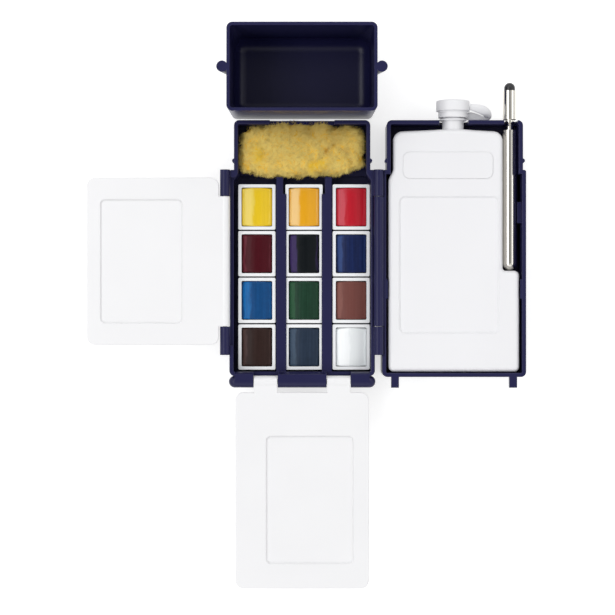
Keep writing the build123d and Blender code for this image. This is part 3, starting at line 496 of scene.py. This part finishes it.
def cake_tree():
    """Poured cake: a crowned block with drawn lines and a sunk, uneven rim."""
    tree, w, given, out = new_tree(
        "paint_cake", "GeometryNodeTree",
        [
            ("Middle", "Vector", (0, 0, 0)),
            ("Width", "Float", 13 * MM),
            ("Length", "Float", 16 * MM),
            ("Height", "Float", 8 * MM),
            ("Crown", "Float", CAKE_CROWN),
            ("Line Depth", "Float", 0.06 * MM),
            ("Rim Dip", "Float", 0.35 * MM),
            ("Seed", "Float", 0.0),
            ("Finish", "Material", None),
        ],
        [("Geometry", "Geometry")],
    )
    size = w.node(
        "ShaderNodeCombineXYZ", X=given["Width"], Y=given["Length"], Z=given["Height"])
    block = w.node("GeometryNodeMeshCube", Size=size.outputs[0])
    for label, count in CAKE_GRID:
        block.inputs[label].default_value = count
    place = w.node("GeometryNodeInputPosition").outputs[0]
    x, y, z = w.node("ShaderNodeSeparateXYZ", Vector=place).outputs
    half_width = w.math("MULTIPLY", given["Width"], 0.5)
    half_length = w.math("MULTIPLY", given["Length"], 0.5)
    half_height = w.math("MULTIPLY", given["Height"], 0.5)
    side = w.math("DIVIDE", x, half_width)
    end = w.math("DIVIDE", y, half_length)
    rise = w.math("MULTIPLY", given["Crown"], w.math(
        "SUBTRACT", 1.0, w.math("MULTIPLY", side, side)))

    def wave(across, along, detail):
        spot = w.node(
            "ShaderNodeCombineXYZ", X=w.math("MULTIPLY", x, across),
            Y=w.math("MULTIPLY", y, along), Z=given["Seed"]).outputs[0]
        return w.math("SUBTRACT", w.noise(1.0, detail, spot), 0.5)

    lines = wave(LINES_ACROSS_PER_METRE, LINES_ALONG_PER_METRE, 2.0)
    sag = wave(SAGS_PER_METRE, SAGS_PER_METRE, 1.0)
    relief = w.math(
        "ADD", w.math("MULTIPLY", lines, given["Line Depth"]),
        w.math("MULTIPLY", sag, w.math("MULTIPLY", given["Line Depth"], SAG_SHARE)))
    near_end = w.math("POWER", w.math("ABSOLUTE", end), END_SHARPNESS)
    near_side = w.math("POWER", w.math("ABSOLUTE", side), SIDE_SHARPNESS)
    dip = w.math("MULTIPLY", w.math("MAXIMUM", near_end, near_side), given["Rim Dip"])
    lift = w.math("SUBTRACT", w.math("ADD", rise, relief), dip)
    share = w.math("DIVIDE", w.math("ADD", z, half_height), given["Height"])
    up = w.math("MULTIPLY", lift, w.math("MAXIMUM", share, 0.0))
    bow = w.math("MULTIPLY", w.math("MULTIPLY", y, END_BOW), w.math("MULTIPLY", side, side))
    shift = w.node("ShaderNodeCombineXYZ", Y=bow, Z=up).outputs[0]
    formed = w.node(
        "GeometryNodeSetPosition", Geometry=w.store(block.outputs[0], "side", side),
        Offset=w.vector_math("ADD", shift, given["Middle"]))
    smooth = w.node("GeometryNodeSetShadeSmooth", Geometry=formed.outputs[0])
    real = w.node("GeometryNodeRealizeInstances", Geometry=smooth.outputs[0])
    w.finish(real.outputs[0], given, out)
    return tree


def paint_cakes():
    """One cake for each pan, in place of the plain block."""
    tree = cake_tree()
    for number, (node, slot) in enumerate(sorted(SLOT_OF.items())):
        if not node.startswith("paint_"):
            continue
        low, high = (Vector(corner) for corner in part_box(node))
        height = high.z - low.z - CAKE_CROWN
        middle = (low + high) / 2
        middle.z = low.z + height / 2
        cake = grown("cake_" + node.removeprefix("paint_"), tree, slot, {
            "Middle": middle, "Width": high.x - low.x, "Length": high.y - low.y,
            "Height": height, "Crown": CAKE_CROWN, "Seed": number * SEED_STEP,
            "Finish": FINISHES[slot],
        })
        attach(cake, "base")
        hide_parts(node)


paint_cakes()


# Sponge

def rounded_block(half, plan_power, rise_power, subdivisions):
    """Closed block about the origin, squarer in plan than from the side."""
    shape = bmesh.new()
    bmesh.ops.create_icosphere(shape, subdivisions=subdivisions, radius=1.0)
    for vertex in shape.verts:
        d = vertex.co.normalized()
        plan = (abs(d.x) ** plan_power + abs(d.y) ** plan_power) ** (1 / plan_power)
        total = (plan ** rise_power + abs(d.z) ** rise_power) ** (1 / rise_power)
        vertex.co = Vector(c / total * h for c, h in zip(d, half))
    return shape


def nearness(point, start, end, width):
    """1 on the line from start to end, falling off sideways over width, seen from above."""
    flat = Vector((point.x, point.y))
    first, last = Vector(start), Vector(end)
    along = last - first
    share = max(0.0, min(1.0, (flat - first).dot(along) / max(along.length_squared, 1e-9)))
    away = (flat - first - along * share).length
    return math.exp(-((away / width) ** 2))


# Folds, stains and painted shade in mm from the sponge's middle, seen from above:
# start, end, width and amount, which is a depth in mm for a fold
SPONGE_FOLDS = [
    ((13.7, 3.3), (10.0, -0.5), 0.9, 1.9),
    ((10.0, -0.5), (8.5, -3.2), 0.8, 1.3),
    ((8.5, -3.2), (5.5, -6.4), 0.9, 1.2),
    ((16.1, 0.4), (19.5, -1.7), 1.0, 1.9),
    ((19.5, -1.7), (21.7, -5.5), 0.8, 1.3),
    ((-18.9, 1.0), (-18.7, -5.5), 1.3, 0.9),
    ((11.5, 9.0), (13.7, 3.3), 1.3, 0.8),
]
SPONGE_STAINS = [
    ((-18.8, 0.3), (-18.6, -5.0), 1.8, 0.75),
    ((4.0, -7.0), (9.5, -6.0), 1.4, 0.75),
]
# Painted shade: darker over the upper middle, which the tray's wall and the cup shade, and
# down the fold creases
SPONGE_PAINTED_SHADE = [
    ((-4.0, 7.5), (13.0, 6.0), 6.0, 0.30),
    ((-20.0, 9.0), (-8.0, 8.0), 2.6, 0.16),
    ((16.5, 3.5), (20.0, 0.5), 2.6, 0.22),
    ((13.7, 3.3), (10.0, -0.5), 0.8, 0.9),
    ((10.0, -0.5), (7.0, -4.6), 0.7, 0.8),
    ((16.1, 0.4), (19.5, -1.7), 0.7, 0.9),
    ((19.5, -1.7), (21.7, -5.5), 0.6, 0.7),
]

# Left free for the pile along, across and up
PILE_ROOM = (0.6 * MM, 0.5 * MM, 1.0 * MM)
# Lumps in a mm, where their noise is read, and their height in mm
SPONGE_LUMPS = (
    (0.13, (3, 1, 7), 1.2),
    (0.40, (9, 4, 2), 0.5),
)
HIGHEST_LUMP = 0.4
# Back edge that leans out: where it starts across and up, as shares of the half sizes,
# half its width in mm and its reach in mm
LEAN_FROM = 0.6
LEAN_ABOVE = 0.3
LEAN_HALF_WIDTH = 13.0
LEAN_REACH = 3.2
# Blunted front corner: where it starts, and how much of the rest goes
CORNER_FROM = 1.5
CORNER_SHARE = 0.4
# A normal lower than this belongs to the underside, which has less pile
UNDERSIDE = -0.35
UNDERSIDE_COVER = 0.15
# Folds deeper than this many mm are bare over part of their width
BARE_FOLD = 1.0
BARE_WIDTH = 0.6
BARE_SHARE = 0.9


def sponge_body():
    """Lumpy block with a few folds, a pile's length inside the solid."""
    low, high = (Vector(corner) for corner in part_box("sponge"))
    half = (high - low) / 2 - Vector(PILE_ROOM)
    middle = (high + low) / 2
    shape = rounded_block(half, plan_power=5.0, rise_power=2.7, subdivisions=6)
    for vertex in shape.verts:
        outward = Vector(c / h for c, h in zip(vertex.co, half)).normalized()
        point = vertex.co / MM
        lumps = sum(
            noise.noise(point * per_mm + Vector(spot)) * height
            for per_mm, spot, height in SPONGE_LUMPS
        )
        inward = max(
            deep * nearness(point, start, end, width)
            for start, end, width, deep in SPONGE_FOLDS
        ) if vertex.co.z > 0 else 0.0
        vertex.co += outward * (min(lumps, HIGHEST_LUMP) - inward) * MM
        over = max(0.0, vertex.co.y / half.y - LEAN_FROM)
        over *= max(0.0, 1.0 - (point.x / LEAN_HALF_WIDTH) ** 4)
        if vertex.co.z > LEAN_ABOVE * half.z:
            vertex.co.y += over * LEAN_REACH * MM
        cut = vertex.co.x / half.x - vertex.co.y / half.y - CORNER_FROM
        if cut > 0:
            vertex.co.x -= cut * CORNER_SHARE * half.x
            vertex.co.y += cut * CORNER_SHARE * half.y
    bmesh.ops.recalc_face_normals(shape, faces=shape.faces)
    mesh = bpy.data.meshes.new("sponge_body")
    shape.to_mesh(mesh)
    shape.free()
    # Stains and painted shade, carried by the mesh to the finish
    for label, marks in (("amber", SPONGE_STAINS), ("painted_shade", SPONGE_PAINTED_SHADE)):
        values = mesh.attributes.new(label, "FLOAT", "POINT").data
        for vertex in mesh.vertices:
            values[vertex.index].value = max(
                amount * nearness(vertex.co / MM, start, end, width)
                for start, end, width, amount in marks
            )
    cover = mesh.attributes.new("cover", "FLOAT", "POINT").data
    for vertex in mesh.vertices:
        bare = max(
            nearness(vertex.co / MM, start, end, width * BARE_WIDTH)
            for start, end, width, deep in SPONGE_FOLDS
            if deep > BARE_FOLD
        )
        hidden = vertex.normal.z < UNDERSIDE
        cover[vertex.index].value = UNDERSIDE_COVER if hidden else 1.0 - BARE_SHARE * bare
        vertex.co += middle
    for polygon in mesh.polygons:
        polygon.use_smooth = True
    return mesh


BLADE_TAPER = 0.85
BLADE_BEND = 0.45
BLADES_IN_TUFT = 4
# How strongly the tufts turn together, place by place, and how far each one strays
COMB_PER_METRE = 260.0
COMB_TURN = 14.0
STRAY = 0.6
# Radians from upright, and share of the full length
DROOP = (-1.45, -0.75)
TUFT_LENGTH = (0.55, 1.1)


def pile_tree():
    """Tufts of short bent blades all over a body."""
    tree, w, given, out = new_tree(
        "pile", "GeometryNodeTree",
        [
            ("Body", "Geometry", None),
            ("Tufts Per Square Metre", "Float", 5.0e6),
            ("Blade Length", "Float", 3.0 * MM),
            ("Blade Width", "Float", 0.26 * MM),
            ("Lean", "Float", 1.0),
            ("Seed", "Int", 5),
            ("Finish", "Material", None),
        ],
        [("Geometry", "Geometry")],
    )
    blade = w.node(
        "GeometryNodeMeshGrid", Size_X=given["Blade Width"], Size_Y=given["Blade Length"])
    for label, count in (("Vertices X", 2), ("Vertices Y", 4)):
        blade.inputs[label].default_value = count
    place = w.node("GeometryNodeInputPosition").outputs[0]
    x, y, _ = w.node("ShaderNodeSeparateXYZ", Vector=place).outputs
    rise = w.math("ADD", w.math("DIVIDE", y, given["Blade Length"]), 0.5)
    taper = w.math("SUBTRACT", 1.0, w.math("MULTIPLY", rise, BLADE_TAPER))
    bend = w.math("MULTIPLY", w.math("MULTIPLY", rise, rise), given["Blade Length"])
    upright = w.node(
        "ShaderNodeCombineXYZ", X=w.math("MULTIPLY", x, taper),
        Y=w.math("MULTIPLY", bend, BLADE_BEND),
        Z=w.math("MULTIPLY", rise, given["Blade Length"])).outputs[0]
    shaped = w.node(
        "GeometryNodeSetPosition", Geometry=blade.outputs[0], Position=upright)
    marked = w.store(shaped.outputs[0], "reach", rise)
    # Blades of a tuft fan out, each a little shorter than the one before
    tuft = w.node("GeometryNodeJoinGeometry")
    for step in range(BLADES_IN_TUFT):
        turn = w.node(
            "GeometryNodeTransform", Geometry=marked,
            Rotation=(0.16 * step - 0.2, 0.10 * step - 0.15, 0.9 * step),
            Scale=(1, 1, 1 - 0.10 * step))
        w.feed(tuft.inputs[0], turn.outputs[0])

    normal = w.node("GeometryNodeInputNormal").outputs[0]
    body = w.store(given["Body"], "nap", normal, kind="FLOAT_VECTOR")
    cover = w.node(
        "GeometryNodeInputNamedAttribute", {"data_type": "FLOAT"}, Name="cover").outputs[0]
    scattered = w.node(
        "GeometryNodeDistributePointsOnFaces", Mesh=body,
        Density=w.math("MULTIPLY", given["Tufts Per Square Metre"], cover),
        Seed=given["Seed"])
    ground = w.node("GeometryNodeInputPosition").outputs[0]
    comb = w.math("MULTIPLY", w.noise(COMB_PER_METRE, 1.0, ground), COMB_TURN)
    stray = w.random(-STRAY, STRAY, given["Seed"])
    droop = w.math("MULTIPLY", given["Lean"], w.random(
        *DROOP, w.math("ADD", given["Seed"], 5.0)))
    lean = w.node(
        "ShaderNodeCombineXYZ", X=droop, Z=w.math("ADD", comb, stray)).outputs[0]
    stand = w.node(
        "FunctionNodeRotateRotation", {"rotation_space": "LOCAL"},
        Rotation=scattered.outputs["Rotation"],
        Rotate_By=w.node("FunctionNodeEulerToRotation", Euler=lean).outputs[0])
    length = w.random(*TUFT_LENGTH, w.math("ADD", given["Seed"], 3.0))
    tufts = w.node(
        "GeometryNodeInstanceOnPoints", Points=scattered.outputs["Points"],
        Instance=tuft.outputs[0], Rotation=stand.outputs[0], Scale=length)
    tone = w.random(0.0, 1.0, w.math("ADD", given["Seed"], 8.0))
    toned = w.store(tufts.outputs[0], "shade", tone, "INSTANCE")
    both = w.node("GeometryNodeJoinGeometry")
    for part in (toned, body):
        w.feed(both.inputs[0], part)
    real = w.node("GeometryNodeRealizeInstances", Geometry=both.outputs[0])
    w.finish(real.outputs[0], given, out)
    return tree


def fluffy_sponge():
    """Sponge with its pile, in place of the plain block."""
    sponge = grown("sponge_fluff", pile_tree(), "sponge_yellow", {
        "Finish": FINISHES["sponge_yellow"],
    }, sponge_body())
    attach(sponge, "sponge")
    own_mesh(sponge)
    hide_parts("sponge")


fluffy_sponge()


# Strap from the bottle's neck to its cap

STRAP_THICKNESS = 0.8 * MM
STRAP_STEPS = 56
RING_SIDES = 64
RING_INNER_MM = 4.56
RING_OUTER_MM = 5.8
# In mm, inner and outer edge of the band, and its height
STRAP_STATIONS = [
    ((68.4, 56.9), (68.4, 54.1), 9.6),
    ((71.0, 57.4), (71.0, 54.0), 9.6),
    ((73.6, 56.75), (73.8, 53.9), 9.5),
    ((75.4, 56.0), (76.4, 53.9), 9.5),
    ((76.3, 55.6), (78.6, 54.2), 9.8),
    ((76.5, 55.4), (79.5, 55.2), 10.5),
    ((76.3, 55.6), (79.3, 57.0), 11.2),
    ((75.5, 56.0), (78.4, 58.6), 11.7),
    ((74.2, 56.6), (76.7, 59.8), 12.0),
    ((72.4, 57.3), (74.4, 60.4), 12.1),
    ((70.0, 58.2), (70.6, 60.7), 12.1),
]


def spline_point(knots, place):
    """Catmull-Rom point at a place from 0 to 1 along the knots."""
    run = place * (len(knots) - 1)
    first = min(int(run), len(knots) - 2)
    u = run - first
    a, b, c, d = (
        knots[max(0, min(len(knots) - 1, first + step))] for step in (-1, 0, 1, 2))
    return (b * 2 + (c - a) * u + (a * 2 - b * 5 + c * 4 - d) * u * u
            + (b * 3 - a - c * 3 + d) * u * u * u) / 2


def vertex_row(shape, points):
    """One new vertex for each point."""
    return [shape.verts.new(point) for point in points]


def skin_between(shape, rows, closed):
    """Quads between rows of vertices; the ends are capped unless it is closed."""
    pairs = list(zip(rows, rows[1:]))
    if closed:
        pairs.append((rows[-1], rows[0]))
    for first, second in pairs:
        for i in range(len(first)):
            j = (i + 1) % len(first)
            shape.faces.new((first[i], first[j], second[j], second[i]))
    if not closed:
        shape.faces.new(list(reversed(rows[0])))
        shape.faces.new(rows[-1])


def band_points(inner, outer, up, thickness):
    """Rounded strip section from the inner to the outer edge."""
    across = outer - inner
    round_in = thickness * 0.45 / across.length
    places = (
        (round_in, -0.5), (0.5, -0.5), (1 - round_in, -0.5), (1.0, -0.2), (1.0, 0.2),
        (1 - round_in, 0.5), (0.5, 0.5), (round_in, 0.5), (0.0, 0.2), (0.0, -0.2),
    )
    return [inner + across * share + up * thickness * lift for share, lift in places]


def cap_strap():
    """Thin band that turns back over itself, from a ring under the cap."""
    ring_front = Vector(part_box("cap_strap")[0]).y
    cap_low, cap_high = (Vector(corner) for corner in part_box("bottle_cap"))
    middle = (cap_low + cap_high) / 2
    shape = bmesh.new()
    inner_knots = [Vector((*inner, height)) * MM for inner, _, height in STRAP_STATIONS]
    outer_knots = [Vector((*outer, height)) * MM for _, outer, height in STRAP_STATIONS]
    rows = []
    for step in range(STRAP_STEPS + 1):
        inner = spline_point(inner_knots, step / STRAP_STEPS)
        outer = spline_point(outer_knots, step / STRAP_STEPS)
        rows.append(vertex_row(
            shape, band_points(inner, outer, Vector((0, 0, 1)), STRAP_THICKNESS)))
    skin_between(shape, rows, False)

    # Ring round the neck, between the tray's end and the cap's skirt
    centre = Vector((middle.x, ring_front + STRAP_THICKNESS / 2, middle.z))
    rows = []
    for side in range(RING_SIDES):
        angle = math.tau * side / RING_SIDES
        out = Vector((math.cos(angle), 0, math.sin(angle)))
        rows.append(vertex_row(shape, band_points(
            centre + out * RING_INNER_MM * MM, centre + out * RING_OUTER_MM * MM,
            Vector((0, 1, 0)), STRAP_THICKNESS)))
    skin_between(shape, rows, True)
    bmesh.ops.recalc_face_normals(shape, faces=shape.faces)
    mesh = bpy.data.meshes.new("strap_band")
    shape.to_mesh(mesh)
    shape.free()
    for polygon in mesh.polygons:
        polygon.use_smooth = True
    mesh.materials.append(FINISHES["bottle_white"])
    strap = bpy.data.objects.new("strap_band", mesh)
    bpy.context.scene.collection.objects.link(strap)
    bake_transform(strap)
    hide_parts("cap_strap")


cap_strap()


# Hair of the brush

HAIR_TIP_RADIUS = 0.012 * MM
HAIR_LENGTH = (0.93, 1.0)
# Radians from one hair to the next, which spreads them evenly over the root
GOLDEN_ANGLE = 2.39996
BELLY_SWELL = 0.2
POINT_CLOSING = 0.97
POINT_POWER = 0.62


def hair_tree():
    """Tapered hairs on a round root, drawn together to a point."""
    tree, w, given, out = new_tree(
        "hair_tuft", "GeometryNodeTree",
        [
            ("Count", "Int", 260),
            ("Length", "Float", 14 * MM),
            ("Root Radius", "Float", 1.2 * MM),
            ("Belly", "Float", 0.28),
            ("Hair Radius", "Float", 0.07 * MM),
            ("Root", "Vector", (0, 0, 0)),
            ("Seed", "Int", 11),
            ("Finish", "Material", None),
        ],
        [("Geometry", "Geometry")],
    )
    hair = w.node(
        "GeometryNodeMeshCone", {"fill_type": "NGON"}, Radius_Top=HAIR_TIP_RADIUS,
        Radius_Bottom=given["Hair Radius"], Depth=given["Length"])
    for label, count in (("Vertices", 4), ("Side Segments", 14)):
        hair.inputs[label].default_value = count
    place = w.node("GeometryNodeInputPosition").outputs[0]
    height = w.node("ShaderNodeSeparateXYZ", Vector=place).outputs[2]
    reach = w.math("DIVIDE", height, given["Length"])
    marked = w.store(hair.outputs[0], "reach", reach)
    index = w.node("GeometryNodeInputIndex").outputs[0]
    turn = w.math("MULTIPLY", index, GOLDEN_ANGLE)
    share = w.math("DIVIDE", w.math("ADD", index, 0.5), given["Count"])
    radius = w.math("MULTIPLY", given["Root Radius"], w.math("SQRT", share))
    spot = w.node(
        "ShaderNodeCombineXYZ", X=w.math("MULTIPLY", radius, w.math("COSINE", turn)),
        Y=w.math("MULTIPLY", radius, w.math("SINE", turn))).outputs[0]
    spots = w.node("GeometryNodePoints", Count=given["Count"], Position=spot)
    length = w.node(
        "ShaderNodeCombineXYZ", X=1.0, Y=1.0,
        Z=w.random(*HAIR_LENGTH, given["Seed"])).outputs[0]
    hairs = w.node(
        "GeometryNodeInstanceOnPoints", Points=spots.outputs[0], Instance=marked,
        Scale=length)
    tone = w.random(0.0, 1.0, w.math("ADD", given["Seed"], 4.0))
    toned = w.store(hairs.outputs[0], "shade", tone, "INSTANCE")
    real = w.node("GeometryNodeRealizeInstances", Geometry=toned)

    # Drawn to a belly and a point, and laid down with the tips forwards
    x, y, z = w.node(
        "ShaderNodeSeparateXYZ",
        Vector=w.node("GeometryNodeInputPosition").outputs[0]).outputs
    rise = w.math("DIVIDE", z, given["Length"])
    swell = w.math("SUBTRACT", w.math("DIVIDE", rise, given["Belly"]), 1.0)
    full = w.math(
        "SUBTRACT", 1.0 + BELLY_SWELL,
        w.math("MULTIPLY", BELLY_SWELL, w.math("MULTIPLY", swell, swell)))
    closing = w.math("SUBTRACT", 1.0, w.math("MULTIPLY", rise, POINT_CLOSING))
    point = w.math("POWER", w.math("MAXIMUM", closing, 0.0), POINT_POWER)
    draw = w.math("MULTIPLY", w.math("MAXIMUM", full, 1.0), point)
    turned = w.node(
        "ShaderNodeCombineXYZ", X=w.math("MULTIPLY", x, draw),
        Y=w.math("MULTIPLY", z, -1.0), Z=w.math("MULTIPLY", y, draw)).outputs[0]
    formed = w.node(
        "GeometryNodeSetPosition", Geometry=real.outputs[0],
        Position=w.vector_math("ADD", turned, given["Root"]))
    w.finish(formed.outputs[0], given, out)
    return tree


def brush_tuft():
    """Hair in place of the brush's solid head, its root in the ferrule."""
    low, high = (Vector(corner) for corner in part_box("brush_hair"))
    middle = (low + high) / 2
    hair = grown("hair_tuft", hair_tree(), "brush_hair", {
        "Length": high.y - low.y, "Root": Vector((middle.x, high.y, middle.z)),
        "Finish": FINISHES["brush_hair"],
    })
    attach(hair, "brush")
    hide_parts("brush_hair")


brush_tuft()


# Camera, floor and light

CAMERA_PLACE = (2.23 * MM, -24.75 * MM, 800 * MM)
SENSOR_WIDTH = 36.0
FOCAL_PIXELS = 1878.6
IMAGE_SIDE = 615
FLOOR_REACH = 3.0
FLOOR_TONE = 0.62
FLOOR_GLOW = 0.65
# Place, width, depth and power in watts
SOFTBOXES = {
    "left_softbox": ((-0.67, -0.05, 1.11), 1.3, 0.5, 4.7),
    "right_softbox": ((0.95, 0.0, 0.80), 1.2, 0.35, 1.4),
    "back_softbox": ((-0.05, 0.95, 0.90), 1.3, 0.4, 3.4),
    "front_softbox": ((-0.15, -0.95, 0.75), 1.3, 0.4, 1.5),
}
LIT_SPOT = (0.0, -0.02, 0.0)
# Upward part of a direction at which the room starts and ends to darken, and its
# strength below and above that
ROOM_FALL = (0.955, 0.995)
ROOM_LIGHT = (0.68, 0.12)
WHITE = (1, 1, 1, 1)


def overhead_camera():
    """Camera straight above the box, as far away as the fitted perspective says."""
    lens = bpy.data.cameras.new("overhead")
    lens.sensor_width = SENSOR_WIDTH
    lens.lens = SENSOR_WIDTH * FOCAL_PIXELS / IMAGE_SIDE
    camera = bpy.data.objects.new("overhead", lens)
    camera.location = CAMERA_PLACE
    bpy.context.scene.collection.objects.link(camera)
    bpy.context.scene.camera = camera


def pale_floor():
    """Wide pale sheet that shows white and keeps a soft shadow."""
    mesh = bpy.data.meshes.new("floor")
    mesh.from_pydata(
        [(x * FLOOR_REACH, y * FLOOR_REACH, 0) for x, y in (
            (-1, -1), (1, -1), (1, 1), (-1, 1))],
        [], [(0, 1, 2, 3)],
    )
    material, w = cleared_material("floor_paper")
    ray = w.node("ShaderNodeLightPath").outputs
    shown = w.math("MAXIMUM", ray["Is Camera Ray"], w.math(
        "MAXIMUM", ray["Is Glossy Ray"], ray["Is Transmission Ray"]))
    paper = w.node("ShaderNodeBsdfDiffuse", Color=(FLOOR_TONE, FLOOR_TONE, FLOOR_TONE, 1))
    glow = w.node(
        "ShaderNodeEmission", Color=WHITE, Strength=w.math("MULTIPLY", shown, FLOOR_GLOW))
    both = w.node("ShaderNodeAddShader")
    for socket, shader in zip(both.inputs, (paper, glow)):
        w.feed(socket, shader.outputs[0])
    w.node("ShaderNodeOutputMaterial", Surface=both.outputs[0])
    mesh.materials.append(material)
    floor = bpy.data.objects.new("floor", mesh)
    bpy.context.scene.collection.objects.link(floor)


def softbox(name, place, width, depth, power):
    """Rectangular lamp turned towards the box."""
    light = bpy.data.lights.new(name, "AREA")
    light.shape = "RECTANGLE"
    light.size = width
    light.size_y = depth
    light.energy = power
    lamp = bpy.data.objects.new(name, light)
    lamp.location = place
    aim = Vector(LIT_SPOT) - Vector(place)
    lamp.rotation_euler = aim.to_track_quat("-Z", "Y").to_euler()
    bpy.context.scene.collection.objects.link(lamp)


def studio():
    """Softboxes on four sides, in a room that is pale low down and dark overhead."""
    for name, settings in SOFTBOXES.items():
        softbox(name, *settings)
    world = bpy.data.worlds.new("studio")
    world.use_nodes = True
    world.node_tree.nodes.clear()
    w = Wiring(world.node_tree)
    upward = w.node(
        "ShaderNodeSeparateXYZ",
        Vector=w.node("ShaderNodeTexCoord").outputs["Generated"]).outputs["Z"]
    room = w.remap(upward, *ROOM_FALL, *ROOM_LIGHT)
    seen = w.node("ShaderNodeLightPath").outputs["Is Camera Ray"]
    sky = w.node(
        "ShaderNodeBackground", Color=WHITE, Strength=w.math("MAXIMUM", room, seen))
    w.node("ShaderNodeOutputWorld", Surface=sky.outputs[0])
    bpy.context.scene.world = world


overhead_camera()
pale_floor()
studio()
bpy.context.scene.view_settings.view_transform = "Standard"
